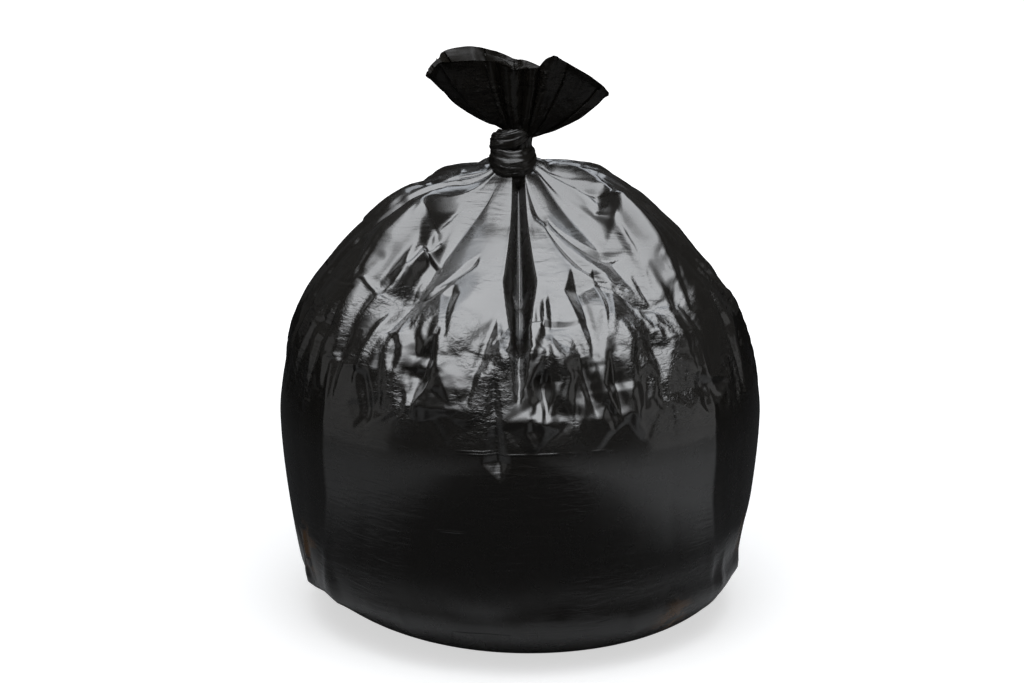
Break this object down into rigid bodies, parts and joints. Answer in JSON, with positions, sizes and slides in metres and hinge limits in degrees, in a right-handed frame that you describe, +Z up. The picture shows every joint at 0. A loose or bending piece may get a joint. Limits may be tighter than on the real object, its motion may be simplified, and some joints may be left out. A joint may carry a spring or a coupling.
{
  "type": "filled, knotted refuse sack",
  "caption": "Filled black polythene refuse sack standing on the floor, gathered and tied shut with an overhand knot in its own neck, the mouth flared above it.",
  "frame": {"origin": "centre of the underside, on the floor", "axes": "+Z up through the knot, the front of the sack faces -Y, +X to the right seen from the front"},
  "size_m": [0.47, 0.47, 0.55],
  "materials": {
    "bag": "glossy crinkled black polythene film"
  },
  "bodies": {
    "root": {"bag": "bag"}
  },
  "joints": []
}
